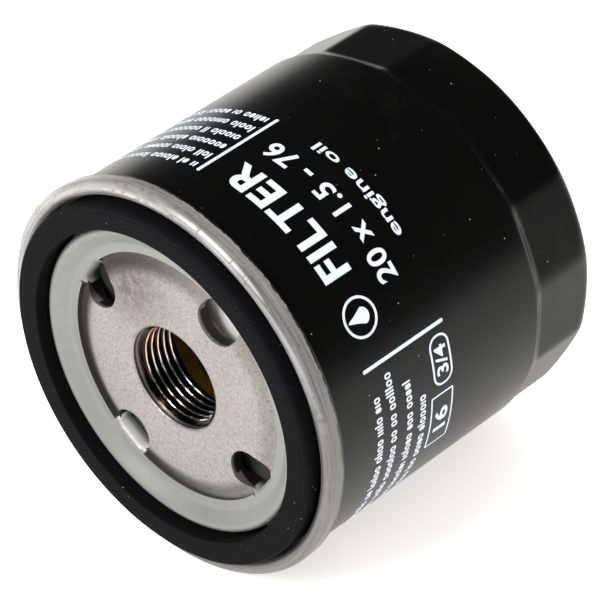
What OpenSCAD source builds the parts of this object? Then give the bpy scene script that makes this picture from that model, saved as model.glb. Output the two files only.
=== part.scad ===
// Spin-on oil filter, lying on its side.
// The filter's axis is +Y. Y = 0 is the gasket's sealing plane and the closed end points to +Y.
// Every piece is drawn upright, with depth as local z, and laid down by lay().

/* [Can] */
// Outside diameter of the drawn steel can
can_d = 76; // [74:0.5:78]
// Length from the gasket's sealing plane to the rim of the closed end
can_l = 74.3; // [72:0.1:84]
// Wall thickness of the can
can_t = 0.6; // [0.5:0.1:0.8]
// Radius of the rim round the closed end
can_rim_r = 4; // [3:0.5:5]
// Depth of the shallow recess in the closed end
end_recess = 1.2; // [0.6:0.1:2]

/* [Wrench flats] */
// Number of flats pressed in the closed end
flat_n = 14; // [14:1:15]
// Corner radius of the flatted zone
flat_corner_r = 37.7; // [37.4:0.1:37.8]
// Where the flats begin, measured from the sealing plane
flat_z = 60.2; // [58:0.2:62]
// Length of the ramp between the round wall and a flat
flat_ramp = 1.3; // [0.8:0.1:2]
// Turn of the flats about the axis, in degrees
flat_turn = 0.2; // [-26:0.2:26]

/* [Base] */
// Outside diameter of the rolled seam
seam_d = 78.3; // [78:0.1:79]
// Width of the rolled seam across its crest
seam_w = 2.95; // [2.8:0.05:3.1]
// Distance of the seam's crest behind the sealing plane
seam_z = 2.2; // [1.8:0.1:2.6]
// Length of the rolled seam along the can
seam_l = 4.2; // [3.8:0.1:4.6]
// Thickness of the seam lid's sheet
lid_t = 0.8; // [0.7:0.05:0.8]
// Inside radius of the gasket
gasket_ri = 30.9; // [30.7:0.1:31.2]
// Outside radius of the gasket
gasket_ro = 35.8; // [35.4:0.1:36]
// Inner edge radius of the seam lid
lid_ri = 24.7; // [24.5:0.1:25]
// Thickness of the thread plate
plate_t = 2.5; // [2.2:0.1:2.6]
// Radius of one oil inlet hole
inlet_r = 4.4; // [4:0.1:4.5]
// Radius of the circle on which the inlet holes lie
inlet_pitch_r = 21.4; // [21:0.1:21.6]
// Angle of the first inlet hole, seen from the base, in degrees
inlet_turn = 149.3; // [100:0.1:180]

/* [Thread] */
// Major diameter of the mounting thread
thread_d = 20; // [18:0.5:20]
// Pitch of the mounting thread
thread_pitch = 1.5; // [1:0.25:1.5]
// Number of full thread grooves
thread_turns = 5; // [3:1:5]

/* [Element] */
// Number of pleats in the paper
pleat_n = 44; // [36:1:48]
// Outside radius of the pleated paper
pleat_ro = 32.3; // [31:0.1:32.4]
// Outside radius of the perforated centre tube
tube_ro = 16.8; // [16.4:0.1:16.8]
// Rows of slots in the centre tube
tube_rows = 6; // [4:1:7]
// Slots in each row, an even number
tube_holes = 10; // [8:2:12]

/* [Bypass valve] */
// Radius of the bypass poppet's disc
poppet_r = 8.6; // [8:0.1:9]
// Radius of the poppet's stem
stem_r = 1.5; // [1.2:0.1:1.6]
// Coils in the bypass spring
bypass_coils = 5; // [4:1:5]

/* [Hidden] */
$fn = 96;
eps = 0.01;
over = 1;                               // how far a cutter stands clear

can_r = can_d / 2;
seam_r = seam_d / 2;
seam_ri = seam_r - seam_w;              // inner face of the rolled seam
roll_r = seam_w / 2;                    // radius of the seam's rounded crest
roll_c = seam_r - roll_r;               // radius at which the crest is centred
hook_z = seam_z + seam_l;               // end of the lid's hook on the can's wall
hook_lip = 0.9;                         // length of the hook's end that grips the can
groove_z = seam_z + 3.3;                // floor of the gasket's groove
lid_crest_r = gasket_ri - 0.55;         // outer radius of the lid's inner ring
lid_crest_z = seam_z + 0.05;            // crest of the lid's inner ring
lid_land_r = lid_ri + 1.3;              // flat land on the thread plate
lid_land_z = seam_z + 2.1;              // depth of that land
bend_r = 0.9;                           // bend radius of the lid's sheet
corner_r = 0.4;                         // corner radius of the groove and the hook
dish_angle = -105;                      // where the inner ring's crest runs out into its dish
edge_z = seam_z + lid_t + 0.6;          // the can's edge, rolled into the seam
tongue_w = inlet_r * 1.25;              // width of a tongue
tongue_x = lid_ri + 0.15;               // where it leaves the lid
tongue_bend = 1.6;                      // its bend radius
tongue_t = 0.7;                         // its thickness in the bend
tongue_lean = -160;                     // where the bend ends
tongue_tip = [[-2.1, 3.6], [-1.4, 3.8]];    // its two end corners, from where it leaves the lid

plate_z = lid_land_z + lid_t;           // the plate's flange, under the lid
hub_z = seam_z + 1.5;                   // the plate's raised middle
dish_r = 20.2;                          // where the raised middle starts to fall
dish_fall = [[1.2, 0.18], [2.4, 0.54], [3.4, 0.89], [4.1, 1]];  // distances out, and shares of the fall
back_dish = 2.3;                        // width of the fall on the plate's back
plate_gap = 0.3;                        // gap between the flange and the lid
plate_ro = lid_crest_r - lid_t - plate_gap; // outer radius of the flange
hub_ro = 12.4;                          // outside of the threaded hub
hub_end = 13.2;                         // inner end of the threaded hub
mouth_round = 0.9;                      // edge radius of the hub's mouth
hub_fillet = 1;                         // inside corner between the plate and the hub
thread_r = thread_d / 2;
thread_depth = 0.5413 * thread_pitch;
minor_r = thread_r - thread_depth;      // radius of the thread's crests
thread_z = hub_z + 1.2;                 // start of the first groove
thread_lead = 0.7;                      // chamfers at the thread's ends
groove_h = thread_pitch * 7 / 16;       // from a groove's start to its middle
crest_w = thread_pitch / 8;             // width of a thread crest

collar_ro = hub_ro + 1.3;               // the valve's collar round the hub
skirt_t = 1.1;                          // thickness of the valve's skirt
skirt_r = 26.4;                         // the lip that seals on the plate
lip_w = 1.4;                            // width of that lip
lip_t = 0.7;                            // its thickness
skirt_rise = 1.4;                       // how far the skirt stands off the plate at the collar

cap_t = 0.5;                            // sheet of both end caps
cap_r = 33.5;                           // outside of both end caps
cap_rim = 4;                            // height of their rims
top_cap_z = hub_end + 0.4;              // outer face of the top cap
bot_cap_z = 63;                         // outer face of the bottom cap
neck_ri = 9.8;                          // drawn neck of the top cap
neck_l = 2.4;                           // its length
pot_t = 0.8;                            // depth of the potting
tube_t = 0.5;
tube_hole_w = 5;                        // width of a slot in the tube
tube_hole_h = 4;                        // its height
paper_t = 0.5;
tip_w = 1.5;                            // width of a fold's outer tip
valley_out = 0.3;                       // width of a fold's valley on the dirty side
valley_in = 1.3;                        // and on the clean side
clip_leg = 2.6;                         // depth of the clip's channel
clip_w = 2.4;                           // its width
clip_t = 0.33;                          // its sheet
clip_back = 0.4;                        // how far its back stands off the fold

seat_r = 6.5;                           // opening of the bypass seat
seat_rim = 1;                           // width of its sealing rim
seat_flange_r = 13.4;                   // its flange on the bottom cap
seat_flange_t = 0.6;
seat_web = 0.4;                         // depth of its web inside the cap
seat_skirt = 2;                         // depth of the wall that holds the cage
seat_wall = 0.7;                        // thickness of that wall
cage_ro = 10.3;                         // the cage that holds the bypass spring
cage_t = 0.6;
cage_z = 50.4;                          // inner end of the cage
guide_l = 0.8;                          // length of the stem's guide beyond the cage
guide_t = 1;                            // its wall
window_w = 8;                           // width of a window in the cage
window_h = 7;                           // its height
window_z = cage_z + 2;                  // its near edge
stem_out = 3.6;                         // how far the stem runs out of the cage
seal_t = 0.75;                          // rubber disc on the poppet
seal_ri = 2.5;                          // hole of that disc
seal_inset = 0.1;                       // its edge, inside the poppet's edge
seal_gap = 0.05;                        // gap at the seat, which the rubber closes
seat_z = bot_cap_z - 1.4;               // sealing rim of the seat
poppet_t = 0.6;
poppet_z = seat_z - seal_gap - seal_t - poppet_t;
stem_gap = 0.06;                        // running clearance of the stem
bypass_wire = 0.45;                     // wire radius
bypass_coil_r = 4.2;

cup_ri = 14.2;                          // hole of the support spring's cup
cup_t = 0.5;
cup_ro = 18.9;                          // outside of the cup's rim
cup_h = 1.7;                            // height of the rim
support_wire = 0.7;                     // wire radius
support_r0 = 16;                        // coil radius on the cup
support_r1 = 22;                        // coil radius on the closed end
support_coils = 3;
spring_gap = 0.03;                      // gap at both ends of a spring
end_in_z = can_l - end_recess - can_t;  // inner face of the closed end's middle
recess_r = 27;                          // radius of the recess in the closed end

// Lays an upright piece on its side, with local z along +Y.
module lay() rotate([-90, 0, 0]) children();

// Revolves a profile about the local z axis.
module turned(points) rotate_extrude($fn = 96) polygon(points);

// Points of an arc from angle a to angle b, in n steps.
function arc(c, r, a, b, n = 6) =
    [for (i = [0 : n]) let (t = a + (b - a) * i / n) [c[0] + r * cos(t), c[1] + r * sin(t)]];

// A ring of rectangular section.
module ring(ri, ro, z0, z1) turned([[ri, z0], [ro, z0], [ro, z1], [ri, z1]]);

// The can's outer form, drawn inwards by off: a round wall, a rounded rim and pressed flats.
module can_form(off, z0) {
    r = can_r - off;
    top = can_l - off;
    rim = can_rim_r - off;
    apothem = flat_corner_r * cos(180 / flat_n) - off;
    difference() {
        turned(concat([[0, z0], [r, z0]], arc([r - rim, top - rim], rim, 0, 90),
                      [[recess_r + end_recess, top], [recess_r, top - end_recess],
                       [0, top - end_recess]]));
        for (i = [0 : flat_n - 1])
            rotate([0, 0, flat_turn + (i + 0.5) * 360 / flat_n])
                translate([0, can_r, 0]) rotate([90, 0, 90])
                    linear_extrude(height = can_r / 2, center = true)
                        polygon([[over, flat_z - flat_ramp], [apothem - can_r, flat_z],
                                 [apothem - can_r, can_l + over], [over, can_l + over]]);
    }
}

// Drawn steel can, open at the base.
module can() {
    color("#161616") lay() difference() {
        can_form(0, edge_z);
        can_form(can_t, 0);
    }
}

// Outline of the seam lid's sheet, from its inner edge to the end of its hook.
lid_profile = concat(
    // outer face: land, dished ring, crest, wall of the groove, floor and seam
    [[lid_ri, lid_land_z], [lid_land_r, lid_land_z]],
    arc([lid_crest_r - bend_r, lid_crest_z + bend_r], bend_r, dish_angle, 0),
    arc([lid_crest_r + corner_r, groove_z - corner_r], corner_r, 180, 90, 3),
    arc([seam_ri - corner_r, groove_z - corner_r], corner_r, 90, 0, 3),
    arc([roll_c, seam_z + roll_r], roll_r, -180, 0, 12),
    arc([seam_r - corner_r, hook_z - corner_r], corner_r, 0, 90, 3),
    // inner face, back to the inner edge
    [[can_r, hook_z], [can_r, hook_z - hook_lip], [seam_r - lid_t, hook_z - hook_lip - corner_r]],
    arc([roll_c, seam_z + roll_r], roll_r - lid_t, 0, -180, 8),
    arc([seam_ri - corner_r, groove_z - corner_r], corner_r + lid_t, 0, 90, 4),
    arc([lid_crest_r + corner_r, groove_z - corner_r], corner_r + lid_t, 90, 180, 4),
    arc([lid_crest_r - bend_r, lid_crest_z + bend_r], bend_r - lid_t, 0, dish_angle, 3),
    [[lid_land_r, lid_land_z + lid_t], [lid_ri, lid_land_z + lid_t]]);

// A tongue of the lid, bent down into an inlet hole.
module tongue() {
    rotate([90, 0, 0]) translate([tongue_x, lid_land_z, -tongue_w / 2]) linear_extrude(height = tongue_w)
        polygon(concat([[0, 0]], arc([0, tongue_bend], tongue_bend, -90, tongue_lean), tongue_tip,
                       arc([0, tongue_bend], tongue_bend - tongue_t, tongue_lean, -90),
                       [[0, lid_t]]));
}

// Tinned steel lid that is rolled over the can's edge.
module seam_lid() {
    color("#b9b9b2") lay() union() {
        turned(lid_profile);
        for (i = [0 : 3]) rotate([0, 0, -inlet_turn + 90 * i]) tongue();
    }
}

// Sealing compound rolled into the seam, round the can's edge.
module seam_sealant() {
    slack = 0.05;
    foot = 0.35;
    gap_ri = roll_c - roll_r + lid_t;
    gap_ro = roll_c + roll_r - lid_t;
    color("#7d6a3a") lay() turned(
        [[gap_ri, seam_z + roll_r + slack], [gap_ri + corner_r, edge_z - foot],
         [gap_ro - corner_r, edge_z - foot], [gap_ro, seam_z + roll_r + slack],
         [can_r, seam_z + roll_r + slack], [can_r, edge_z], [can_r - can_t, edge_z],
         [can_r - can_t, hook_z - 3 * corner_r], [gap_ri, hook_z - 3 * corner_r]]);
}

// Upper face of the thread plate, from the hub's mouth to the flange.
plate_face = concat(
    [[dish_r, hub_z]],
    [for (d = dish_fall) [dish_r + d[0], hub_z + d[1] * (plate_z - hub_z)]],
    [[plate_ro, plate_z]]);

// Thick steel plate with the inlet holes and the threaded hub.
module thread_plate() {
    color("#b8b0a8") lay() difference() {
        turned(concat(
            [[minor_r, thread_z], [thread_r, thread_z - thread_lead]],
            arc([thread_r + mouth_round, hub_z + mouth_round], mouth_round, 180, 270, 4), plate_face,
            [[plate_ro, plate_z + plate_t], [dish_r + back_dish, plate_z + plate_t],
             [dish_r, hub_z + plate_t],
             [hub_ro + hub_fillet, hub_z + plate_t], [hub_ro, hub_z + plate_t + hub_fillet],
             [hub_ro, hub_end], [thread_r, hub_end], [minor_r, hub_end - thread_lead]]));
        for (i = [0 : 3]) rotate([0, 0, -inlet_turn + 90 * i])
            translate([inlet_pitch_r, 0, 0]) cylinder(h = hub_end, r = inlet_r);
        for (i = [0 : thread_turns - 1]) let (z = thread_z + crest_w + i * thread_pitch)
            turned([[minor_r - eps, z], [thread_r, z + groove_h - crest_w / 2],
                    [thread_r, z + groove_h + crest_w / 2],
                    [minor_r - eps, z + thread_pitch - crest_w]]);
    }
}

// Rubber sealing ring that stands proud of the base.
module gasket() {
    back_c = 0.5;
    inner_c = 0.3;
    outer_r = 0.9;
    color("#1b1b1c") lay() turned(concat(
        [[gasket_ri, inner_c], [gasket_ri + inner_c, 0]],
        arc([gasket_ro - outer_r, outer_r], outer_r, -90, 0, 3),
        [[gasket_ro, groove_z - back_c], [gasket_ro - back_c, groove_z],
         [gasket_ri + back_c, groove_z], [gasket_ri, groove_z - back_c]]));
}

// Silicone valve: a collar on the hub and a skirt that closes the inlets from inside.
module anti_drain_valve() {
    lip_z = plate_z + plate_t;
    collar_z = hub_z + plate_t + 1.6;
    root_z = lip_z + skirt_rise;
    foot_ri = minor_r + 1.6;
    foot_z = top_cap_z - 0.1;
    lift = 0.5;
    color("#b9b2a8") lay() turned([
        [hub_ro, collar_z], [collar_ro, collar_z], [collar_ro, root_z],
        [skirt_r - lip_w - lift, lip_z + lift], [skirt_r - lip_w, lip_z], [skirt_r, lip_z],
        [skirt_r, lip_z + lip_t], [skirt_r - lip_w, lip_z + lift + skirt_t],
        [collar_ro + skirt_t, root_z + skirt_t], [collar_ro + lift, foot_z], [foot_ri, foot_z],
        [foot_ri, hub_end], [hub_ro, hub_end]]);
}

// Sheet steel cap over the base end of the pleated paper, with a drawn neck.
module top_cap() {
    z = top_cap_z;
    color("#c98b17") lay() turned([
        [neck_ri, z], [cap_r, z], [cap_r, z + cap_rim], [cap_r - cap_t, z + cap_rim],
        [cap_r - cap_t, z + cap_t], [neck_ri + cap_t, z + cap_t], [neck_ri + cap_t, z + neck_l],
        [neck_ri, z + neck_l]]);
}

// Sheet steel cap over the other end, with the bypass valve's opening.
module bottom_cap() {
    z = bot_cap_z;
    color("#a9a9a6") lay() turned([
        [cage_ro + seat_wall, z], [cap_r, z], [cap_r, z - cap_rim], [cap_r - cap_t, z - cap_rim],
        [cap_r - cap_t, z - cap_t], [cage_ro + seat_wall, z - cap_t]]);
}

// Adhesive that bonds the paper into the base end cap.
module top_potting() {
    z = top_cap_z + cap_t;
    color("#9a8f7d") lay() ring(tube_ro, cap_r - cap_t, z, z + pot_t);
}

// Adhesive that bonds the paper into the other end cap.
module bottom_potting() {
    z = bot_cap_z - cap_t;
    color("#9a8f7d") lay() ring(tube_ro, cap_r - cap_t, z - pot_t, z);
}

// One side of the folded paper: tips at radius ro and valleys at radius ri.
function pleats(ro, ri, tip_w, valley_w) =
    [for (k = [0 : pleat_n - 1],
          p = [[ro, -tip_w, 0], [ro, tip_w, 0], [ri, -valley_w, 0.5], [ri, valley_w, 0.5]])
        let (a = (k + p[2]) * 360 / pleat_n + (p[1] / 2 / p[0]) * 180 / PI)
            [p[0] * cos(a), p[0] * sin(a)]];

media_z0 = top_cap_z + cap_t + pot_t;
media_z1 = bot_cap_z - cap_t - pot_t;
media_ri = tube_ro + 0.1;

// Pleated filter paper, one closed star.
module filter_media() {
    color("#d8c48e") lay() translate([0, 0, media_z0]) linear_extrude(height = media_z1 - media_z0)
        difference() {
            polygon(pleats(pleat_ro, media_ri + paper_t, tip_w, valley_out));
            polygon(pleats(pleat_ro - paper_t, media_ri, tip_w - 2 * paper_t, valley_in));
        }
}

// Folded steel strip that clamps the ends of the paper together.
module media_clip() {
    face = pleat_ro * cos(tip_w / 4 / pleat_ro * 180 / PI);
    slot_w = clip_w - 2 * clip_t;
    color("#9c9c98") lay() translate([0, 0, media_z0 + paper_t])
        linear_extrude(height = media_z1 - media_z0 - 2 * paper_t) difference() {
            translate([face - clip_leg, -clip_w / 2]) square([clip_leg + clip_back, clip_w]);
            translate([face - clip_leg - eps, -slot_w / 2]) square([clip_leg + eps, slot_w]);
        }
}

// Perforated steel tube inside the paper.
module centre_tube() {
    z0 = top_cap_z + cap_t;
    z1 = bot_cap_z - cap_t;
    step = (z1 - z0) / (tube_rows + 0.5);
    color("#a5a5a1") lay() difference() {
        ring(tube_ro - tube_t, tube_ro, z0, z1);
        for (row = [0 : tube_rows - 1], i = [0 : tube_holes / 2 - 1])
            translate([0, 0, z0 + (row + 0.75) * step])
                rotate([0, 0, (i + 0.25 + 0.5 * (row % 2)) * 360 / tube_holes])
                    cube([2 * (tube_ro + over), tube_hole_w, tube_hole_h], center = true);
    }
}

// Turned seat of the bypass valve, set in the bottom cap.
module bypass_seat() {
    z = bot_cap_z;
    color("#c2c2be") lay() turned([
        [seat_r, z + seat_flange_t], [seat_r, seat_z], [seat_r + seat_rim, seat_z],
        [seat_r + seat_rim, z - seat_web], [cage_ro, z - seat_web], [cage_ro, z - seat_skirt],
        [cage_ro + seat_wall, z - seat_skirt], [cage_ro + seat_wall, z], [seat_flange_r, z],
        [seat_flange_r, z + seat_flange_t]]);
}

// Cage that holds the bypass spring and guides the stem.
module bypass_cage() {
    rim_z = bot_cap_z - seat_web - 0.1;
    guide_r = stem_r + stem_gap;
    color("#9f9f9b") lay() difference() {
        turned([[guide_r, cage_z - guide_l], [stem_r + guide_t, cage_z - guide_l],
                [stem_r + guide_t, cage_z], [cage_ro, cage_z], [cage_ro, rim_z], [cage_ro - cage_t, rim_z],
                [cage_ro - cage_t, cage_z + cage_t], [guide_r, cage_z + cage_t]]);
        for (a = [0, 90]) rotate([0, 0, a])
            translate([-cage_ro - over, -window_w / 2, window_z])
                cube([2 * (cage_ro + over), window_w, window_h]);
    }
}

// Poppet of the bypass valve: a disc on a stem.
module bypass_poppet() {
    color("#b4b4b0") lay() union() {
        translate([0, 0, poppet_z]) cylinder(h = poppet_t, r = poppet_r);
        translate([0, 0, cage_z - stem_out]) cylinder(h = poppet_z - cage_z + stem_out + eps, r = stem_r);
    }
}

// Rubber disc on the poppet that meets the seat.
module bypass_seal() {
    z = poppet_z + poppet_t;
    color("#222222") lay() ring(seal_ri, poppet_r - seal_inset, z, z + seal_t);
}

// A round wire swept along a coil whose radius runs from r0 to r1.
module coil(r0, r1, z0, z1, wire, turns, sides = 8, steps = 20) {
    n = turns * steps;
    pts = [for (i = [0 : n], s = [0 : sides - 1])
        let (u = i / n, a = u * turns * 360, r = r0 + (r1 - r0) * u, b = (s + 0.5) * 360 / sides)
            [(r + wire * cos(b)) * cos(a), (r + wire * cos(b)) * sin(a),
             z0 + wire + (z1 - z0 - 2 * wire) * u + wire * sin(b)]];
    faces = concat(
        [[for (s = [0 : sides - 1]) s]],
        [[for (s = [sides - 1 : -1 : 0]) n * sides + s]],
        [for (i = [0 : n - 1], s = [0 : sides - 1]) let (t = (s + 1) % sides)
            [i * sides + s, (i + 1) * sides + s, (i + 1) * sides + t, i * sides + t]]);
    polyhedron(points = pts, faces = faces, convexity = 6);
}

// Spring that holds the bypass valve shut.
module bypass_spring() {
    color("#8f8f8c") lay()
        coil(bypass_coil_r, bypass_coil_r, cage_z + cage_t + spring_gap, poppet_z - spring_gap, bypass_wire,
             bypass_coils);
}

// Pressed cup that seats the support spring on the element.
module spring_cup() {
    z = bot_cap_z;
    color("#b0aea4") lay() turned([
        [cup_ri, z], [cup_ro, z], [cup_ro, z + cup_h], [cup_ro - cup_t, z + cup_h],
        [cup_ro - cup_t, z + cup_t], [cup_ri, z + cup_t]]);
}

// Conical spring between the element and the closed end.
module support_spring() {
    color("#8a8a88") lay()
        coil(support_r0, support_r1, bot_cap_z + cup_t + spring_gap, end_in_z - spring_gap, support_wire,
             support_coils);
}

can();
seam_lid();
seam_sealant();
thread_plate();
gasket();
anti_drain_valve();
top_cap();
bottom_cap();
top_potting();
bottom_potting();
filter_media();
media_clip();
centre_tube();
bypass_seat();
bypass_cage();
bypass_poppet();
bypass_seal();
bypass_spring();
spring_cup();
support_spring();
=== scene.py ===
"""Spin-on oil filter: the looks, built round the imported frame. Lengths are metres, and MM is a millimetre."""
import math
import random

import bmesh
import bpy
from mathutils import Matrix, Vector


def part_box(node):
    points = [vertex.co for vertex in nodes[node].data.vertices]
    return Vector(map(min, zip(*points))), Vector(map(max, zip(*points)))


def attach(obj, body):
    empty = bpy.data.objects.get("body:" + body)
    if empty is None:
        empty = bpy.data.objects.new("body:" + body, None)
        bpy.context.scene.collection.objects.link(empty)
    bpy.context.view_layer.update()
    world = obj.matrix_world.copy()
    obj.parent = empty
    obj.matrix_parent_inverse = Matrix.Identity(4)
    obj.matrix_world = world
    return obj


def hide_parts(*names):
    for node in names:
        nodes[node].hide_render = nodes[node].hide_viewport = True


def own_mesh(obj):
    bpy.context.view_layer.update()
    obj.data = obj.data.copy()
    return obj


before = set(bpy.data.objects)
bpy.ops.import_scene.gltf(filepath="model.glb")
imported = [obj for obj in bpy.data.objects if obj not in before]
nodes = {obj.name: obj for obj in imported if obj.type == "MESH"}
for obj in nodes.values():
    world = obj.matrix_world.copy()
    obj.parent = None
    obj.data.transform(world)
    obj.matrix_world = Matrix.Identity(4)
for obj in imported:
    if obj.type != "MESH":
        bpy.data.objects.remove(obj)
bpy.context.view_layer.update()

MM = 0.001

# ---------------------------------------------------------------- sizes
can_r = 38 * MM
can_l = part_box("can")[1].y
can_t = 0.6 * MM
can_edge_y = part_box("can")[0].y
rim_r = 4 * MM
recess_r = 27 * MM
recess_depth = 1.2 * MM
recess_floor_r = recess_r - 2 * MM
end_land_r = 31.5 * MM

flat_n = 14
flat_turn = math.radians(89.8)
flat_corner_r = 37.7 * MM
flat_corner_fillet = 3 * MM
flat_edge_fillet = 0.8 * MM
flat_y = 60.2 * MM
flat_ramp = 2.6 * MM

seam_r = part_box("seam_lid")[1].x
seam_w = 2.95 * MM
seam_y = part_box("seam_lid")[0].y
hook_y = seam_y + 4.2 * MM
paint_y = seam_y + 4.1 * MM
# Direction of the seam's painted shade.
seam_shade_turn = math.radians(-40)
lid_t = 0.8 * MM
groove_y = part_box("gasket")[1].y
gasket_ri = 30.9 * MM
gasket_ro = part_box("gasket")[1].x
crest_r = 30.35 * MM
crest_y = 2.25 * MM
land_r = 26 * MM
land_y = 4.3 * MM
lid_ri = 24.7 * MM
tongue_half = math.radians(9.4)
tongue_depth = 3.3 * MM
tongue_wall_r = 24.5 * MM
tongue_gap = 0.08 * MM
tongue_bend = 1.15 * MM
tongue_root = 0.85 * MM
tongue_thinning = 0.65
lid_steps = 480

hub_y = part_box("thread_plate")[0].y
hub_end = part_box("thread_plate")[1].y
hub_ro = 12.4 * MM
plate_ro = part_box("thread_plate")[1].x
plate_y = 5.1 * MM
plate_t = 2.5 * MM
mouth_r = 10.6 * MM
mouth_lip = 0.9 * MM
dish_r = 20.2 * MM
thread_r = 10 * MM
pitch = 1.5 * MM
minor_r = thread_r - 0.5413 * pitch
thread_start = hub_y + 1.1 * MM
thread_lead = 0.7 * MM
thread_crest = 1 / 8
thread_flank = 3 / 4
inlet_r = 4.4 * MM
inlet_pitch_r = 21.4 * MM
inlet_angles = [math.radians(149.3 - 90 * i) for i in range(4)]


# ---------------------------------------------------------------- mesh tools
def arc(centre, radius, start, end, steps=8):
    """Points of an arc in the (radius, y) plane, with its angles in degrees."""
    turns = [math.radians(start + (end - start) * i / steps) for i in range(steps + 1)]
    return [(centre[0] + radius * math.cos(t), centre[1] + radius * math.sin(t)) for t in turns]


def run(a, b, steps):
    """Points of a straight line from a, up to but without b."""
    return [(a[0] + (b[0] - a[0]) * i / steps, a[1] + (b[1] - a[1]) * i / steps) for i in range(steps)]


def revolve(profile, steps, start=0.0):
    """A bmesh of a closed (radius, y) profile turned round the filter's axis."""
    bm = bmesh.new()
    ring = [bm.verts.new((r * math.cos(start), y, r * math.sin(start))) for r, y in profile]
    edges = [bm.edges.new(pair) for pair in zip(ring, ring[1:] + ring[:1])]
    bmesh.ops.spin(bm, geom=ring + edges, cent=(0, 0, 0), axis=(0, 1, 0), dvec=(0, 0, 0),
                   angle=2 * math.pi, steps=steps, use_merge=True, use_duplicate=False)
    bmesh.ops.remove_doubles(bm, verts=bm.verts, dist=0.001 * MM)
    bmesh.ops.recalc_face_normals(bm, faces=bm.faces)
    return bm


def polar(co):
    """Radius and angle of a point about the filter's axis."""
    return math.hypot(co.x, co.z), math.atan2(co.z, co.x)


def set_polar(vert, radius, angle, y):
    vert.co = (radius * math.cos(angle), y, radius * math.sin(angle))


def smoothstep(t):
    t = min(max(t, 0.0), 1.0)
    return t * t * (3 - 2 * t)


def soft_min(a, b, width):
    """The smaller of two lengths, rounded over width where they cross."""
    h = max(width - abs(a - b), 0.0) / width
    return min(a, b) - h * h * width / 4


def piece(name, bm, finish, replaced=None, body="housing", sharp=40):
    """Makes the bmesh an object that rides on a body."""
    mesh = bpy.data.meshes.new(name)
    bm.to_mesh(mesh)
    bm.free()
    mesh.shade_smooth()
    mesh.set_sharp_from_angle(angle=math.radians(sharp))
    obj = bpy.data.objects.new(name, mesh)
    bpy.context.scene.collection.objects.link(obj)
    mesh.materials.append(finish)
    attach(obj, body)
    if replaced:
        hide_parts(replaced)
    return obj


# ---------------------------------------------------------------- shader tools
class Socket:
    """A node's output. Arithmetic on it adds Math nodes to its material."""

    def __init__(self, finish, output):
        self.finish, self.output = finish, output

    def __add__(self, other):
        return self.finish.math("ADD", self, other)

    def __sub__(self, other):
        return self.finish.math("SUBTRACT", self, other)

    def __rsub__(self, other):
        return self.finish.math("SUBTRACT", other, self)

    def __mul__(self, other):
        return self.finish.math("MULTIPLY", self, other)

    def __truediv__(self, other):
        return self.finish.math("DIVIDE", self, other)

    __radd__ = __add__
    __rmul__ = __mul__


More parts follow.
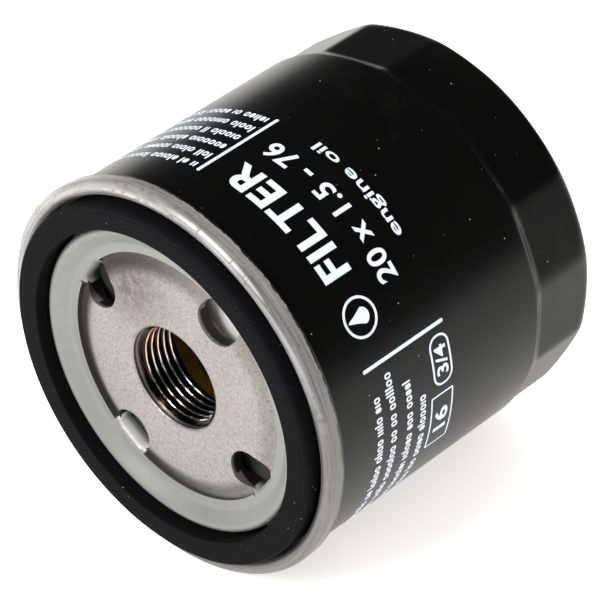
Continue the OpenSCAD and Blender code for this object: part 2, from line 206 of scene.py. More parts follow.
class Finish:
    """A material with a Principled shader, and the nodes that drive it."""

    def __init__(self, name, **constants):
        self.material = bpy.data.materials.new(name)
        self.material.use_nodes = True
        self.tree = self.material.node_tree
        self.tree.nodes.clear()
        output = self.tree.nodes.new("ShaderNodeOutputMaterial")
        self.shader = self.tree.nodes.new("ShaderNodeBsdfPrincipled")
        self.tree.links.new(self.shader.outputs["BSDF"], output.inputs["Surface"])
        for key, value in constants.items():
            self.shader.inputs[key.replace("_", " ")].default_value = value
        self.place = self.node("ShaderNodeTexCoord", out="Object")
        parts = self.node("ShaderNodeSeparateXYZ", inputs={"Vector": self.place}, out=None)
        self.x, self.y, self.z = (Socket(self, parts.outputs[i]) for i in range(3))
        self.radius = self.math("POWER", self.x * self.x + self.z * self.z, 0.5)

    def node(self, kind, settings=None, inputs=None, out=0):
        """Adds a node. Its settings come first, then the values or links of its inputs."""
        made = self.tree.nodes.new(kind)
        for key, value in (settings or {}).items():
            if key == "stops":
                for i, (at, colour) in enumerate(value):
                    stop = made.color_ramp.elements[i] if i < 2 else made.color_ramp.elements.new(at)
                    stop.position, stop.color = at, (*colour, 1)
            else:
                setattr(made, key, value)
        for key, value in (inputs or {}).items():
            if isinstance(value, Socket):
                self.tree.links.new(value.output, made.inputs[key])
            else:
                made.inputs[key].default_value = value
        return made if out is None else Socket(self, made.outputs[out])

    def math(self, operation, *values):
        return self.node("ShaderNodeMath", {"operation": operation}, dict(enumerate(values)))

    def vector(self, *parts):
        return self.node("ShaderNodeCombineXYZ", inputs=dict(enumerate(parts)))

    def noise(self, scale, detail=3, roughness=0.5, place=None):
        return self.node("ShaderNodeTexNoise", inputs={
            "Vector": place or self.place, "Scale": scale, "Detail": detail, "Roughness": roughness})

    def band(self, value, low, high):
        """0 below low and 1 above high, smooth between. With high under low it falls."""
        return self.node("ShaderNodeMapRange", {"interpolation_type": "SMOOTHSTEP"}, {
            "Value": value, "From Min": min(low, high), "From Max": max(low, high),
            "To Min": 0 if low < high else 1, "To Max": 1 if low < high else 0})

    def mix(self, factor, a, b):
        """Colour a where factor is 0 and b where it is 1."""
        link = lambda c: c if isinstance(c, Socket) else (*c, 1)
        return self.node("ShaderNodeMix", {"data_type": "RGBA"}, {
            "Factor": factor, 6: link(a), 7: link(b)}, out=2)

    def specks(self, scale, size, share):
        """Small round spots: 1 on a spot. Share is the part of the cells that hold one."""
        cells = self.node("ShaderNodeTexVoronoi", inputs={"Vector": self.place, "Scale": scale}, out=None)
        spot = self.band(Socket(self, cells.outputs["Distance"]), size, size * 0.6)
        chosen = self.node("ShaderNodeSeparateColor", inputs={"Color": Socket(self, cells.outputs["Color"])})
        return spot * self.band(chosen, 1 - share, 1 - share + 0.02)

    def round_streaks(self, across, along, detail=4):
        """Noise drawn out round the axis: across is its scale over the profile, along round the ring."""
        place = self.vector((self.radius - self.y) * across, self.x / self.radius * along,
                            self.z / self.radius * along)
        return self.noise(1, detail, 0.6, place)

    def toward(self, angle):
        """Distance from the axis, measured along a direction across it."""
        return self.x * math.cos(angle) + self.z * math.sin(angle)

    def bump(self, height, distance, strength=1.0, after=None):
        inputs = {"Height": height, "Distance": distance, "Strength": strength}
        if after:
            inputs["Normal"] = after
        return self.node("ShaderNodeBump", inputs=inputs)

    def set(self, **inputs):
        for key, value in inputs.items():
            self.tree.links.new(value.output, self.shader.inputs[key.replace("_", " ")])
        return self.material


# ---------------------------------------------------------------- finishes
def black_paint():
    """Gloss enamel with a little peel, dust, grit and an oily smear."""
    f = Finish("black_paint", IOR=1.29)
    cloud = f.noise(60, 3)
    dust = f.specks(300, 0.055, 0.5)
    grit = f.specks(700, 0.07, 0.12)
    spots = f.math("MAXIMUM", dust, grit * 0.6)
    smear = f.band(f.noise(45, 5, 0.7), 0.56, 0.72)
    colour = f.mix(cloud, (0.0014, 0.0013, 0.0012), (0.0034, 0.0031, 0.0029))
    colour = f.mix(smear * 0.25, colour, (0.012, 0.0115, 0.011))
    colour = f.mix(spots, colour, (0.24, 0.24, 0.23))
    roughness = 0.22 + cloud * 0.09 + f.noise(1400, 2) * 0.04 + spots * 0.3
    peel = f.bump(f.noise(620, 2), 0.006 * MM, 0.5)
    return f.set(Base_Color=colour, Roughness=roughness, Normal=f.bump(spots, 0.02 * MM, 0.5, peel))


def tinned_steel():
    """Satin tin on the ring, roll-formed and scuffed on the seam, with painted highlights on the tongues,
    painted shade deep inside the inlets and along the cut inner edge, and painted shade on the seam's lower
    right.
    """
    f = Finish("tinned_steel")
    inner_seam = seam_r - seam_w
    on_seam = f.band(f.radius, inner_seam - 0.5 * MM, inner_seam - 0.1 * MM)
    inner = f.band(f.radius, land_r + 0.8 * MM, land_r + 0.4 * MM)
    # Painted shade mask: deep inside the inlets.
    inlet_shade = f.band(f.y, land_y + 1.2 * MM, land_y + 2.9 * MM) * inner
    # Painted highlight mask: the tongues from where they bend down into the inlets.
    drawn = f.band(f.y, land_y + 0.2 * MM, land_y + 0.8 * MM) * inner
    cosine = f.toward(inlet_angles[0]) / f.radius
    square = cosine * cosine
    fourfold_cosine = square * square * 8 - square * 8 + 1
    in_notch = f.band(fourfold_cosine, 0.74, 0.80)
    # Painted shade along the lid's cut inner edge, below its top face, except at the tongues.
    cut_edge_shade = f.band(f.radius, lid_ri + 0.03 * MM, lid_ri + 0.01 * MM)
    cut_edge_shade = cut_edge_shade * f.band(f.radius, lid_ri - 0.10 * MM, lid_ri - 0.04 * MM)
    cut_edge_shade = cut_edge_shade * f.band(f.y, land_y + 0.04 * MM, land_y + 0.08 * MM) * (1 - in_notch)
    # Painted highlight on the tongue of the lower left inlet.
    lower_left_highlight = f.band(f.toward(inlet_angles[3]), 19 * MM, 22 * MM) * drawn * in_notch
    lines = f.band(f.round_streaks(7000, 3), 0.36, 0.64)
    wide_lines = f.band(f.round_streaks(2600, 2, 3), 0.38, 0.62)
    scuffs = f.round_streaks(1500, 26, 5)
    scratch = f.band(scuffs, 0.58, 0.66) * on_seam
    on_crest = (f.band(f.radius, crest_r - 1.05 * MM, crest_r - 0.45 * MM)
                * f.band(f.radius, crest_r + 0.65 * MM, crest_r + 0.25 * MM))
    nicks = f.specks(900, 0.24, 0.34) * on_crest
    cloud = f.noise(160, 4)
    tin = f.mix(cloud, (0.222, 0.223, 0.207), (0.268, 0.269, 0.252))
    seam_tin = f.mix(lines * 0.6 + wide_lines * 0.4, (0.20, 0.193, 0.184), (0.54, 0.53, 0.52))
    # Painted shade: the seam is darkened towards its lower right, where it would mirror the bright floor.
    seam_shade = f.band(f.toward(seam_shade_turn) / f.radius, 0.0, 0.72)
    seam_tin = f.mix(seam_shade * 0.72, seam_tin, (0.082, 0.078, 0.073))
    colour = f.mix(on_seam, tin, seam_tin)
    colour = f.mix(scratch * 0.55, colour, (0.16, 0.15, 0.14))
    colour = f.mix(nicks, colour, (0.9, 0.9, 0.88))
    # Painted highlight: the tongues are lightened where they bend down into the inlets.
    colour = f.mix(drawn * 0.4, colour, (0.60, 0.585, 0.56))
    # Painted shade: the tongues go almost black deep inside the inlets.
    colour = f.mix(inlet_shade * (1 - lower_left_highlight * 0.45) * 0.94, colour, (0.030, 0.031, 0.026))
    # Painted highlight: the lower left tongue is lit almost white and takes less of the inlets' painted shade.
    colour = f.mix(lower_left_highlight * f.band(f.y, land_y + 2.9 * MM, land_y + 1.3 * MM), colour, (0.93, 0.91, 0.88))
    # Painted shade: the lid's cut inner edge is darkened.
    colour = f.mix(cut_edge_shade * 0.9, colour, (0.045, 0.040, 0.036))
    ragged = (f.noise(900, 3) * 0.7 + f.noise(190, 2) * 1.1) * MM
    outside = f.band(f.radius, can_r - 0.6 * MM, can_r - 0.4 * MM)
    painted = f.band(f.y + ragged, paint_y, paint_y + 0.2 * MM) * outside
    colour = f.mix(painted, colour, (0.006, 0.006, 0.006))
    roughness = 0.44 + cloud * 0.1 - on_seam * 0.20 + wide_lines * on_seam * 0.18 + scratch * 0.2
    height = lines * 0.5 + wide_lines * 0.5 + scratch * -0.9
    grain = f.bump(height * on_seam, 0.012 * MM)
    satin = f.bump(f.noise(2600, 2), 0.003 * MM, 0.6, grain)
    metallic = (0.42 + on_seam * 0.08) * (1 - painted)
    return f.set(Base_Color=colour, Roughness=roughness, Metallic=metallic, Normal=satin)


def plate_steel():
    """Sandy, stained sheet with painted shade on its shoulder and in its inlets, and a bright cut thread with
    painted shade in its grooves and a painted amber reflection.
    """
    f = Finish("plate_steel")
    in_bore = (f.band(f.radius, mouth_r + 0.1 * MM, mouth_r - 0.4 * MM)
               * f.band(f.y, hub_y + 0.8 * MM, hub_y + 1.3 * MM))
    sand = f.band(f.noise(2100, 4, 0.6), 0.38, 0.62)
    pits = f.band(f.noise(1100, 4, 0.7), 0.55, 0.68)
    cloud = f.noise(110, 4, 0.6)
    stain_place = f.vector(f.x + 11 * MM, f.y, f.z - 17 * MM)
    stain = f.band(f.node("ShaderNodeVectorMath", {"operation": "LENGTH"}, {0: stain_place}, "Value"),
                   14 * MM, 2 * MM)
    mottle = f.band(f.noise(480, 6, 0.8), 0.34, 0.62)
    # Painted shade on the plate's shoulder under the lid, stronger on the left side.
    left = f.band(f.x / f.radius, 0.5, -0.6)
    shoulder_shade = f.band(f.radius, dish_r, dish_r + 2.6 * MM) * (0.28 + left * 0.70)
    colour = f.mix(cloud, (0.335, 0.31, 0.293), (0.43, 0.403, 0.384))
    colour = f.mix(sand * 0.42, colour, (0.24, 0.212, 0.192))
    colour = f.mix(pits * 0.45, colour, (0.15, 0.125, 0.11))
    colour = f.mix(stain * (0.35 + mottle * 0.55), colour, (0.105, 0.086, 0.072))
    colour = f.mix(shoulder_shade, colour, (0.068, 0.059, 0.054))
    # Painted shade: the inlet walls and the plate below its face go almost black, except in the bore.
    deep = f.band(f.y, hub_y + 0.25 * MM, hub_y + 0.9 * MM)
    deep = deep * f.band(f.radius, land_r + 0.2 * MM, land_r - 0.1 * MM)
    in_hole = f.band(f.y, hub_y + 1.5 * MM, hub_y + 1.9 * MM)
    walls = f.math("MAXIMUM", deep * f.band(f.radius, dish_r, dish_r - 0.4 * MM), in_hole)
    colour = f.mix(walls * (1 - in_bore) * 0.95, colour, (0.013, 0.011, 0.009))
    # Painted reflection: the bore turns copper towards its upper left, as if mirroring the amber cap.
    amber_reflection = f.band(f.x * -0.55 + f.z * 0.8, -2 * MM, 8 * MM)
    bore_colour = f.mix(amber_reflection, (0.66, 0.63, 0.58), (0.78, 0.50, 0.31))
    # Painted shade in the thread's grooves.
    groove_shade = f.band(f.radius, minor_r + 0.06 * MM, minor_r + 0.24 * MM)
    bore_colour = f.mix(groove_shade, bore_colour, (0.020, 0.014, 0.010))
    colour = f.mix(in_bore, colour, bore_colour)
    roughness = 0.46 + sand * 0.12 - in_bore * 0.34
    grain = f.bump((sand * 0.6 + pits * -0.8 + mottle * 0.2) * (1 - in_bore), 0.03 * MM, 0.55)
    return f.set(Base_Color=colour, Roughness=roughness, Metallic=0.86 + in_bore * 0.14, Normal=grain)


def gasket_rubber():
    """Matte black rubber with faint mould rings and dust."""
    f = Finish("gasket_rubber", IOR=1.10)
    cloud = f.noise(120, 4)
    dust = f.specks(700, 0.09, 0.16)
    lint = f.specks(1600, 0.12, 0.09)
    spots = f.math("MAXIMUM", dust, lint * 0.7)
    rings = f.round_streaks(1800, 4, 3)
    colour = f.mix(cloud, (0.0035, 0.0035, 0.0041), (0.0062, 0.0063, 0.0071))
    colour = f.mix(spots, colour, (0.25, 0.26, 0.28))
    roughness = 0.50 + cloud * 0.12 + rings * 0.08
    skin = f.bump(f.noise(1500, 3) * 0.6 + rings * 0.4, 0.010 * MM, 0.5)
    return f.set(Base_Color=colour, Roughness=roughness, Normal=skin)


def plain_metal(name, dark, light, roughness, streak=0.0):
    """Sheet or turned steel with a mottled plating and faint turning marks."""
    f = Finish(name, Metallic=1.0)
    cloud = f.noise(500, 5, 0.6)
    marks = f.round_streaks(6000, 5)
    colour = f.mix(cloud, dark, light)
    height = f.noise(3000, 3) * (1 - streak) + marks * streak
    return f.set(Base_Color=colour, Roughness=roughness + cloud * 0.15,
                 Normal=f.bump(height, 0.008 * MM, 0.6))


def soft_matter(name, dark, light, roughness, scale, depth):
    """Rubber, sealant, adhesive or silicone: mottled, with a fine skin."""
    f = Finish(name, IOR=1.45)
    cloud = f.noise(scale, 4, 0.6)
    return f.set(Base_Color=f.mix(cloud, dark, light), Roughness=roughness + cloud * 0.15,
                 Normal=f.bump(f.noise(scale * 6, 3), depth * MM, 0.6))


def valve_silicone():
    """Pale silicone with painted shade all over, except on the patch that lies behind the second inlet."""
    f = Finish("valve_silicone", IOR=1.4)
    # Painted shade: only the patch behind the second inlet keeps the silicone's pale colour.
    unshaded_patch = f.band(f.toward(inlet_angles[1]), 10 * MM, 14 * MM)
    cloud = f.noise(300, 4)
    pale = f.mix(cloud, (0.78, 0.76, 0.73), (0.88, 0.86, 0.83))
    valve_shade_colour = f.mix(cloud, (0.018, 0.018, 0.014), (0.060, 0.060, 0.050))
    skin = f.bump(f.noise(900, 3), 0.02 * MM, 0.6)
    return f.set(Base_Color=f.mix(unshaded_patch, valve_shade_colour, pale), Roughness=0.32 + cloud * 0.2, Normal=skin)


def filter_paper():
    """Resin-treated paper with fibres that run round its folds."""
    f = Finish("filter_paper", IOR=1.4)
    fibre_place = f.vector(f.x * 900, f.y * 260, f.z * 900)
    fibres = f.noise(1, 6, 0.7, fibre_place)
    cloud = f.noise(90, 4)
    colour = f.mix(fibres, (0.50, 0.36, 0.17), (0.80, 0.66, 0.40))
    colour = f.mix(cloud * 0.3, colour, (0.62, 0.45, 0.22))
    return f.set(Base_Color=colour, Roughness=0.72 + fibres * 0.15,
                 Normal=f.bump(fibres, 0.03 * MM, 0.7))


def print_ink():
    """Cool white ink with a few worn spots."""
    f = Finish("print_ink", IOR=1.45)
    worn = f.band(f.noise(2600, 4, 0.7), 0.66, 0.76)
    cloud = f.noise(300, 3)
    colour = f.mix(cloud, (0.68, 0.74, 0.82), (0.80, 0.85, 0.92))
    colour = f.mix(worn * 0.5, colour, (0.25, 0.27, 0.30))
    return f.set(Base_Color=colour, Roughness=0.42 + cloud * 0.1,
                 Normal=f.bump(f.noise(1800, 2), 0.004 * MM, 0.5))


# ---------------------------------------------------------------- can
def flat_limit(angle, y):
    """Largest radius that the pressed flats leave at an angle and a depth."""
    step = 2 * math.pi / flat_n
    from_middle = (angle - flat_turn) % step - step / 2
    from_corner = step / 2 - abs(from_middle)
    apothem = flat_corner_r * math.cos(step / 2)
    fillet = flat_corner_fillet
    centre = (apothem - fillet) / math.cos(step / 2)
    wall = apothem / math.cos(from_middle)
    if abs(from_middle) > math.atan2(centre * math.sin(step / 2), apothem):
        wall = centre * math.cos(from_corner) + math.sqrt(fillet ** 2 - (centre * math.sin(from_corner)) ** 2)
    press = smoothstep((y - flat_y + flat_ramp) / flat_ramp)
    return can_r + (wall - can_r) * press


def can_profile(off):
    """Outer wall of the can, drawn inwards by off, from its edge to the axis."""
    r, top = can_r - off, can_l - off
    dense = flat_y - 2 * flat_ramp
    floor_y = top - recess_depth
    soft = 0.6 * MM
    return (run((r, can_edge_y), (r, dense), 9)
            + run((r, dense), (r, flat_y + flat_ramp), 26)
            + run((r, flat_y + flat_ramp), (r, can_l - rim_r), 10)
            + arc((can_r - rim_r, can_l - rim_r), rim_r - off, 0, 90, 20)
            + run((end_land_r, top), (recess_r + 2.2 * MM, top), 2)
            + arc((recess_r + 1.7 * MM, top - soft), soft, 90, 150, 5)
            + arc((recess_r + 0.1 * MM, floor_y + soft), soft, -30, -90, 5)
            + run((recess_floor_r, floor_y), (0, floor_y), 6) + [(0, floor_y)])


def build_can():
    outer, inner = can_profile(0), can_profile(can_t)
    bm = revolve(outer + inner[::-1], flat_n * 24, flat_turn)
    dense = flat_y - flat_ramp
    for v in bm.verts:
        radius, angle = polar(v.co)
        if v.co.y < dense or radius < recess_r:
            continue
        inside = can_t if radius < can_r - can_t / 2 and v.co.y < can_l - rim_r else 0.0
        if v.co.y >= can_l - rim_r:
            from_centre = math.hypot(radius - (can_r - rim_r), v.co.y - (can_l - rim_r))
            inside = can_t if from_centre < rim_r - can_t / 2 and radius > can_r - rim_r else inside
        press = smoothstep((v.co.y - dense) / flat_ramp)
        limit = flat_limit(angle, v.co.y) - inside
        if radius > limit - 0.5 * MM:
            radius = soft_min(radius, limit, 0.02 * MM + flat_edge_fillet * press)
        set_polar(v, radius, angle, v.co.y)
    return bm


# ---------------------------------------------------------------- seam lid
def lid_profile():
    """Section of the lid's sheet, from its inner edge round the seam and back."""
    roll = seam_w / 2
    roll_c = seam_r - roll
    inner_seam = seam_r - seam_w
    bend = 0.9 * MM
    soft = 0.4 * MM
    crest = (crest_r - bend, crest_y + bend)
    outer = (run((lid_ri, land_y), (land_r, land_y), 22)
             + [(land_r, land_y), (land_r + 0.5 * MM, land_y - 0.12 * MM)]
             + run((land_r + 0.9 * MM, land_y - 0.38 * MM), (crest[0] - 0.35 * MM, crest_y + 0.06 * MM), 6)
             + arc(crest, bend, -105, 0, 14)
             + arc((crest_r + soft, groove_y - soft), soft, 180, 90, 4)
             + arc((inner_seam - soft, groove_y - soft), soft, 90, 0, 4)
             + arc((roll_c, seam_y + roll), roll, -180, 0, 28)
             + run((seam_r, seam_y + roll), (seam_r - 0.08 * MM, hook_y - 1.2 * MM), 4)
             + arc((seam_r - 0.58 * MM, hook_y - 0.75 * MM), 0.5 * MM, 0, 50, 6)
             + [(can_r + 0.10 * MM, hook_y - 0.06 * MM), (can_r + 0.005 * MM, hook_y)])
    inner = ([(can_r + 0.005 * MM, hook_y - 0.9 * MM), (seam_r - lid_t, hook_y - 1.2 * MM)]
             + arc((roll_c, seam_y + roll), roll - lid_t, 0, -180, 10)
             + arc((inner_seam - soft, groove_y - soft), soft + lid_t, 0, 90, 5)
             + arc((crest_r + soft, groove_y - soft), soft + lid_t, 90, 180, 5)
             + arc(crest, bend - lid_t, 0, -105, 4)
             + [(land_r + 0.5 * MM, land_y + lid_t - 0.12 * MM)]
             + run((land_r, land_y + lid_t), (lid_ri, land_y + lid_t), 22) + [(lid_ri, land_y + lid_t)])
    return outer + inner


def bend_tongues(bm):
    """Draws the lid's inner edge down into each inlet as a rounded scoop."""
    wall_r = inlet_r - tongue_gap
    corner = 0.6 * MM
    turn_end = math.radians(86)
    for v in bm.verts:
        radius, angle = polar(v.co)
        if radius > land_r or v.co.y > land_y + 1.5 * MM:
            continue
        inlet = min(inlet_angles, key=lambda a: abs(math.remainder(angle - a, 2 * math.pi)))
        off = math.remainder(angle - inlet, 2 * math.pi)
        if abs(off) > tongue_half:
            continue
        side, along = radius * math.sin(off), radius * math.cos(off)
        edge = lid_ri * math.cos(off)
        wall = soft_min(tongue_wall_r, inlet_pitch_r + math.sqrt(wall_r ** 2 - side ** 2), corner)
        start = max(wall + tongue_bend, edge + tongue_root)
        if along >= start:
            continue
        bend = start - wall
        length = bend * turn_end + tongue_depth - bend
        travel = (start - along) / (start - edge) * length
        depth = (v.co.y - land_y) * tongue_thinning
        turn = min(travel / bend, turn_end)
        rest = travel - turn * bend
        reach = (bend - depth) * math.sin(turn) + rest * math.cos(turn)
        drop = bend - (bend - depth) * math.cos(turn) + rest * math.sin(turn)
        new_along = start - reach
        v.co = (new_along * math.cos(inlet) - side * math.sin(inlet), land_y + drop,
                new_along * math.sin(inlet) + side * math.cos(inlet))


def build_lid():
    bm = revolve(lid_profile(), lid_steps, inlet_angles[0])
    bend_tongues(bm)
    return bm


# ---------------------------------------------------------------- thread plate
def thread_radius(angle, y):
    """Radius of the right-hand thread at an angle and a depth, with a chamfer at both ends."""
    turned = (y / pitch - (math.pi / 2 - angle) / (2 * math.pi)) % 1.0
    flank = abs(turned - 0.5) * 2
    depth = min(max((flank - thread_crest) / thread_flank, 0.0), 1.0)
    chamfer = max(thread_start + thread_lead - y, y - (hub_end - thread_lead), 0.0)
    return max(minor_r + (thread_r - minor_r) * depth, minor_r + chamfer * 1.2)


def plate_profile():
    """Section of the base plate. Its shoulder is a list of radii and falls from the hub, in millimetres."""
    bore_top = hub_y + mouth_lip
    shoulder = [(20.2, 0), (20.8, 0.08), (21.4, 0.25), (22.0, 0.47), (22.6, 0.74), (23.1, 1.0), (23.6, 1.22),
                (24.0, 1.34), (24.4, 1.40)]
    return (run((thread_r + 0.1 * MM, hub_end), (thread_r + 0.05 * MM, bore_top + 0.3 * MM), 96)
            + arc((mouth_r + 0.35 * MM, bore_top), mouth_lip, 180, 270, 8)
            + run((mouth_r + 1.4 * MM, hub_y), (19.6 * MM, hub_y), 4)
            + [(r * MM, hub_y + d * MM) for r, d in shoulder]
            + [(plate_ro, plate_y), (plate_ro, plate_y + plate_t), (22.5 * MM, plate_y + plate_t),
               (20 * MM, hub_y + plate_t), (hub_ro + 1 * MM, hub_y + plate_t),
               (hub_ro, hub_y + plate_t + 1 * MM), (hub_ro, hub_end)])


def cut_inlets(bm):
    """Drills the four inlets, and rounds their edges."""
    plate, drill = bpy.data.meshes.new("plate"), bpy.data.meshes.new("drill")
    bm.to_mesh(plate)
    bm.free()
    cutter = bmesh.new()
    for angle in inlet_angles:
        centre = Vector((inlet_pitch_r * math.cos(angle), hub_y, inlet_pitch_r * math.sin(angle)))
        bmesh.ops.create_cone(cutter, cap_ends=True, segments=72, radius1=inlet_r, radius2=inlet_r,
                              depth=12 * MM,
                              matrix=Matrix.Translation(centre) @ Matrix.Rotation(math.pi / 2, 4, "X"))
    cutter.to_mesh(drill)
    cutter.free()
    plate_obj, drill_obj = bpy.data.objects.new("plate", plate), bpy.data.objects.new("drill", drill)
    for obj in (plate_obj, drill_obj):
        bpy.context.scene.collection.objects.link(obj)
    cut = plate_obj.modifiers.new("inlets", "BOOLEAN")
    cut.operation, cut.solver, cut.object = "DIFFERENCE", "EXACT", drill_obj
    bpy.context.view_layer.update()
    graph = bpy.context.evaluated_depsgraph_get()
    drilled = bpy.data.meshes.new_from_object(plate_obj.evaluated_get(graph))
    bm = bmesh.new()
    bm.from_mesh(drilled)
    for obj in (plate_obj, drill_obj):
        bpy.data.objects.remove(obj)
    for angle in inlet_angles:
        centre = Vector((inlet_pitch_r * math.cos(angle), 0, inlet_pitch_r * math.sin(angle)))
        on_wall = lambda v: abs((Vector((v.co.x, 0, v.co.z)) - centre).length - inlet_r) < 0.02 * MM
        rims = [e for e in bm.edges if all(on_wall(v) for v in e.verts) and len(e.link_faces) == 2
                and e.calc_face_angle() > math.radians(40)]
        bmesh.ops.bevel(bm, geom=rims, offset=0.22 * MM, offset_type="OFFSET", segments=3, profile=0.5,
                        affect="EDGES", clamp_overlap=True, material=-1)
    return bm


def build_plate():
    bm = revolve(plate_profile(), 256, inlet_angles[0] + math.pi / 4)
    for v in bm.verts:
        radius, angle = polar(v.co)
        if radius < thread_r + 0.15 * MM:
            set_polar(v, thread_radius(angle, v.co.y), angle, v.co.y)
    return cut_inlets(bm)


# ---------------------------------------------------------------- gasket
def build_gasket():
    """The sealing ring, with a fine moulding line near its outer edge."""
    soft, mould = 0.45 * MM, 0.06 * MM
    inner_round, outer_round = 0.3 * MM, 0.85 * MM
    line_r = gasket_ro - 1.15 * MM
    profile = (arc((gasket_ri + inner_round, inner_round), inner_round, 180, 270, 5)
               + run((gasket_ri + 2 * inner_round, 0), (line_r - 0.12 * MM, 0), 6)
               + [(line_r - 0.10 * MM, 0), (line_r, mould), (line_r + 0.10 * MM, mould * 0.6)]
               + arc((gasket_ro - outer_round, outer_round), outer_round, 280, 360, 8)
               + arc((gasket_ro - soft, groove_y - soft), soft, 0, 90, 5)
               + arc((gasket_ri + soft, groove_y - soft), soft, 90, 180, 5))
    return revolve(profile, 240)


# ---------------------------------------------------------------- print
ink_lift = 0.02 * MM
ink_t = 0.02 * MM


def wrap_print(bm, arc_mm, y_mm):
    """Wraps a flat print round the can. Its x runs round the can and its y towards the base."""
    low = min(v.co.x for v in bm.verts)
    high = max(v.co.x for v in bm.verts)
    step = 0.8 * MM
    for i in range(1, int((high - low) / step) + 1):
        bmesh.ops.bisect_plane(bm, geom=bm.verts[:] + bm.edges[:] + bm.faces[:], dist=0.0001 * MM,
                               plane_co=(low + i * step, 0, 0), plane_no=(1, 0, 0))
    for v in bm.verts:
        angle = (arc_mm * MM + v.co.x) / can_r
        height = can_r + ink_lift + (ink_t if v.co.z > 0 else 0)
        set_polar(v, height, angle, y_mm * MM - v.co.y)
    return bm


def thick(bm):
    """Gives flat faces the print's thickness."""
    made = bmesh.ops.extrude_face_region(bm, geom=bm.faces[:])
    lifted = [g for g in made["geom"] if isinstance(g, bmesh.types.BMVert)]
    bmesh.ops.translate(bm, verts=lifted, vec=(0, 0, ink_t))
    bmesh.ops.recalc_face_normals(bm, faces=bm.faces)
    return bm


def lettering(words, height, width, weight, spread=1.0):
    """Plain letters and digits of a given height, drawn out to a given width, in millimetres."""
    curve = bpy.data.curves.new("lettering", "FONT")
    curve.body, curve.size, curve.offset, curve.extrude = words, 10 * MM, weight * MM, ink_t / 2
    curve.resolution_u, curve.space_character = 6, spread
    obj = bpy.data.objects.new("lettering", curve)
    bpy.context.scene.collection.objects.link(obj)
    bpy.context.view_layer.update()
    graph = bpy.context.evaluated_depsgraph_get()
    mesh = bpy.data.meshes.new_from_object(obj.evaluated_get(graph))
    bpy.data.objects.remove(obj)
    bm = bmesh.new()
    bm.from_mesh(mesh)
    bmesh.ops.remove_doubles(bm, verts=bm.verts, dist=0.001 * MM)
    xs, ys = [v.co.x for v in bm.verts], [v.co.y for v in bm.verts]
    for v in bm.verts:
        v.co.x = (v.co.x - min(xs)) / (max(xs) - min(xs)) * width * MM
        v.co.y = (v.co.y - min(ys)) / (max(ys) - min(ys)) * height * MM
    return bm


def bar(length, width):
    """A flat bar with its corner at the origin, rounded at its corners."""
    bm = bmesh.new()
    bmesh.ops.create_grid(bm, x_segments=1, y_segments=1, size=0.5 * MM,
                          matrix=Matrix.Translation((0.5 * MM, 0.5 * MM, 0)))
    bmesh.ops.scale(bm, vec=(length, width, 1), verts=bm.verts)
    bmesh.ops.bevel(bm, geom=bm.verts[:], offset=min(length, width) * 0.45 * MM, offset_type="OFFSET",
                    segments=3, profile=0.5, affect="VERTICES", clamp_overlap=True, material=-1)
    return thick(bm)


def frame_box(length, width, line, corner):
    """An outlined box with rounded corners."""
    bm = bmesh.new()
    loops = []
    for inset in (0, line):
        verts = bmesh.ops.create_grid(bm, x_segments=1, y_segments=1, size=0.5 * MM,
                                      matrix=Matrix.Translation((0.5 * MM, 0.5 * MM, 0)))["verts"]
        bmesh.ops.scale(bm, vec=(length - 2 * inset, width - 2 * inset, 1), verts=verts)
        bmesh.ops.translate(bm, vec=(inset * MM, inset * MM, 0), verts=verts)
        made = bmesh.ops.bevel(bm, geom=verts, offset=max(corner - inset, 0.1) * MM, offset_type="OFFSET",
                               segments=5, profile=0.5, affect="VERTICES", clamp_overlap=True, material=-1)
        loops += list({e for v in made["verts"] for e in v.link_edges})
    bmesh.ops.delete(bm, geom=bm.faces[:], context="FACES_ONLY")
    bmesh.ops.bridge_loops(bm, edges=list(set(loops)))
    return thick(bm)


def ring(radius, line):
    """A circle drawn with a line of a given width."""
    bm = bmesh.new()
    edges = []
    for r in (radius, radius - line):
        made = bmesh.ops.create_circle(bm, cap_ends=False, segments=64, radius=r * MM)
        edges += list({e for v in made["verts"] for e in v.link_edges})
    bmesh.ops.bridge_loops(bm, edges=edges)
    return thick(bm)


def drop(height):
    """A drop of oil: a circle drawn out to a point at its top."""
    bm = bmesh.new()
    bmesh.ops.create_circle(bm, cap_ends=True, segments=48, radius=height * 0.32 * MM)
    low = height * 0.32 * MM
    for v in bm.verts:
        t = (v.co.y + low) / (2 * low)
        v.co.x *= 1 - 0.72 * smoothstep((t - 0.35) / 0.65)
        v.co.y = -low + 2 * low * t + height * 0.36 * MM * smoothstep((t - 0.3) / 0.7) ** 2
    return thick(bm)


def moved(bm, x, y):
    bmesh.ops.translate(bm, verts=bm.verts, vec=(x * MM, y * MM, 0))
    return bm


def text_blocks(rng, length, from_right):
    """A line of small stems, bowls and bars that stands for fine print."""
    low, tall, stroke, gap, space = 1.45, 2.05, 0.36, 0.26, 0.8
    sizes = {"stem": (0.4, low), "tall": (0.4, tall), "bowl": (1.15, low), "block": (0.95, low)}
    marks, x = [], 0.0
    while x < length:
        for _ in range(rng.randint(2, 8)):
            kind = rng.choice(("stem", "tall", "bowl", "bowl", "bowl", "block"))
            wide, high = sizes[kind]
            at = length - x - wide if from_right else x
            mark = frame_box(wide, high, stroke, 0.5) if kind == "bowl" else bar(wide, high)
            marks.append(moved(mark, at, 0))
            x += wide + gap
        x += space
    return marks


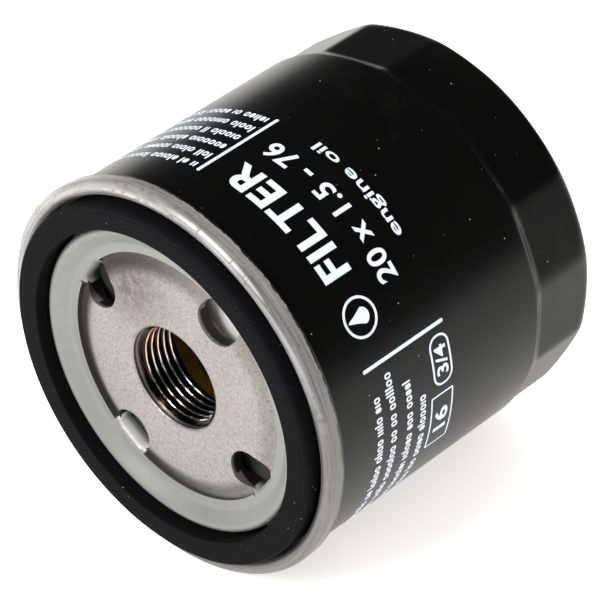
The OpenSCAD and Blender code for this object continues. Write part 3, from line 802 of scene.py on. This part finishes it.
def build_print():
    """The can's print. Each mark has its place round the can and along it, in millimetres."""
    rng = random.Random(4)
    rule_w, rule_l, rule_end = 0.7, 20.3, 34.95
    rules = (63.6, 14.95)
    prints = [(bar(rule_w, rule_l), at - rule_w / 2, rule_end) for at in rules]
    prints += [
        (lettering("FILTER", height=6.4, width=27.6, weight=0.30, spread=1.09), 31.5, 21.85),
        (lettering("20 x 1.5 - 76", height=4.4, width=33.0, weight=0.22, spread=1.05), 26.2, 29.85),
        (lettering("engine oil", height=3.1, width=22.2, weight=0.16), 31.8, 36.0),
        (ring(radius=3.75, line=0.5), 23.8, 18.5),
        (drop(height=4.9), 23.8, 19.0),
        (frame_box(length=10.0, width=4.9, line=0.42, corner=2.2), 3.1, 35.1),
        (lettering("3/4", height=2.9, width=6.0, weight=0.2), 5.1, 34.1),
        (frame_box(length=12.35, width=5.7, line=0.34, corner=0.4), -10.9, 35.0),
        (lettering("16", height=3.3, width=5.4, weight=0.2), -7.4, 33.8),
    ]
    right_start = -30
    for end, base in ((9.3, 16.9), (12.4, 20.4), (8.6, 24.5), (3.7, 27.9)):
        for mark in text_blocks(rng, end - right_start, True):
            prints.append((mark, right_start, base))
    left_start, left_rows, first_row, row_gap = 65.0, 6, 16.6, 3.55
    for row in range(left_rows):
        for mark in text_blocks(rng, 38 - 3 * (row % 3), False):
            prints.append((mark, left_start, first_row + row_gap * row))
    whole = bmesh.new()
    for bm, at, y in prints:
        wrap_print(bm, at, y)
        mesh = bpy.data.meshes.new("mark")
        bm.to_mesh(mesh)
        bm.free()
        whole.from_mesh(mesh)
        bpy.data.meshes.remove(mesh)
    return whole


# ---------------------------------------------------------------- assembly
piece("can_shell", build_can(), black_paint(), "can", sharp=50)
piece("rolled_lid", build_lid(), tinned_steel(), "seam_lid", sharp=55)
piece("base_plate", build_plate(), plate_steel(), "thread_plate", sharp=35)
piece("sealing_ring", build_gasket(), gasket_rubber(), "gasket", sharp=60)
piece("can_print", build_print(), print_ink())

zinc = plain_metal("zinc_steel", (0.40, 0.41, 0.42), (0.60, 0.61, 0.61), 0.30)
amber = plain_metal("yellow_zinc", (0.62, 0.33, 0.04), (0.86, 0.55, 0.10), 0.28)
spring = plain_metal("spring_steel", (0.30, 0.30, 0.31), (0.48, 0.48, 0.48), 0.26, 0.6)


def shortening_spring(name, body):
    """Copies a spring's mesh into a piece of spring steel that rides on a body, in place of the imported one.
    """
    node = nodes[name]
    bm = bmesh.new()
    bm.from_mesh(node.data)
    bm.transform(node.matrix_world)
    coil = piece(name + "_coil", bm, spring, name, body)
    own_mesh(coil)


shortening_spring("bypass_spring", "element")
shortening_spring("support_spring", "housing")

inner_finishes = {
    "anti_drain_valve": valve_silicone(),
    "seam_sealant": soft_matter("sealant", (0.24, 0.18, 0.08), (0.34, 0.27, 0.13), 0.5, 400, 0.02),
    "top_potting": soft_matter("potting", (0.34, 0.29, 0.22), (0.46, 0.40, 0.31), 0.45, 500, 0.03),
    "bypass_seal": soft_matter("seal_rubber", (0.014, 0.014, 0.015), (0.026, 0.026, 0.027), 0.5, 600, 0.01),
    "filter_media": filter_paper(),
    "top_cap": amber,
    "spring_cup": amber,
}
inner_finishes["bottom_potting"] = inner_finishes["top_potting"]
for name, node in nodes.items():
    if not node.hide_render:
        node.data.materials.clear()
        node.data.materials.append(inner_finishes.get(name, zinc))

# ---------------------------------------------------------------- stage
floor_z = -seam_r - 0.01 * MM
bpy.ops.mesh.primitive_grid_add(x_subdivisions=1, y_subdivisions=1, size=8, location=(0, 0, floor_z))
floor = bpy.context.object
floor.name = "floor"
floor_finish = Finish("floor_white", Roughness=0.9, Emission_Strength=0.55,
                      Emission_Color=(1, 0.97, 0.945, 1))
floor_white = floor_finish.mix(floor_finish.noise(3), (0.90, 0.90, 0.895), (0.92, 0.92, 0.915))
floor.data.materials.append(floor_finish.set(Base_Color=floor_white))


def softbox(name, place, aim, size, power):
    light = bpy.data.lights.new(name, "AREA")
    light.shape, light.size, light.energy = "SQUARE", size, power
    obj = bpy.data.objects.new(name, light)
    obj.location = place
    obj.rotation_mode = "QUATERNION"
    obj.rotation_quaternion = (Vector(aim) - Vector(place)).to_track_quat("-Z", "Y")
    bpy.context.scene.collection.objects.link(obj)


middle = (0, can_l / 2, 0)
softbox("front_key", place=(-0.12, -0.75, 0.62), aim=middle, size=0.45, power=8)

world = bpy.data.worlds.new("studio")
bpy.context.scene.world = world
world.use_nodes = True
sky = world.node_tree
sky.nodes.clear()
room = sky.nodes.new("ShaderNodeBackground")
room.inputs["Color"].default_value = (0.07, 0.07, 0.07, 1)
backdrop = sky.nodes.new("ShaderNodeBackground")
backdrop.inputs["Color"].default_value = (0.95, 0.95, 0.95, 1)
path = sky.nodes.new("ShaderNodeLightPath")
seen = sky.nodes.new("ShaderNodeMath")
seen.operation = "MAXIMUM"
sky.links.new(path.outputs["Is Camera Ray"], seen.inputs[0])
sky.links.new(path.outputs["Is Diffuse Ray"], seen.inputs[1])
choose = sky.nodes.new("ShaderNodeMixShader")
out = sky.nodes.new("ShaderNodeOutputWorld")
sky.links.new(seen.outputs[0], choose.inputs["Fac"])
sky.links.new(room.outputs[0], choose.inputs[1])
sky.links.new(backdrop.outputs[0], choose.inputs[2])
sky.links.new(choose.outputs[0], out.inputs["Surface"])

# ---------------------------------------------------------------- camera
azimuth, elevation = math.radians(43.24), math.radians(38.50)
distance = 678.7 * MM
back = Vector((math.sin(azimuth) * math.cos(elevation), -math.cos(azimuth) * math.cos(elevation),
               math.sin(elevation)))
camera = bpy.data.cameras.new("camera")
camera.sensor_width = 36
camera.lens = 225.1
camera.shift_x, camera.shift_y = -0.0058, -0.0124
camera.clip_start, camera.clip_end = 0.01, 20
eye = bpy.data.objects.new("camera", camera)
eye.location = Vector((0, 37.2 * MM, 0)) + back * distance
eye.rotation_mode = "QUATERNION"
eye.rotation_quaternion = (-back).to_track_quat("-Z", "Y")
bpy.context.scene.collection.objects.link(eye)
bpy.context.scene.camera = eye
bpy.context.scene.view_settings.view_transform = "Standard"
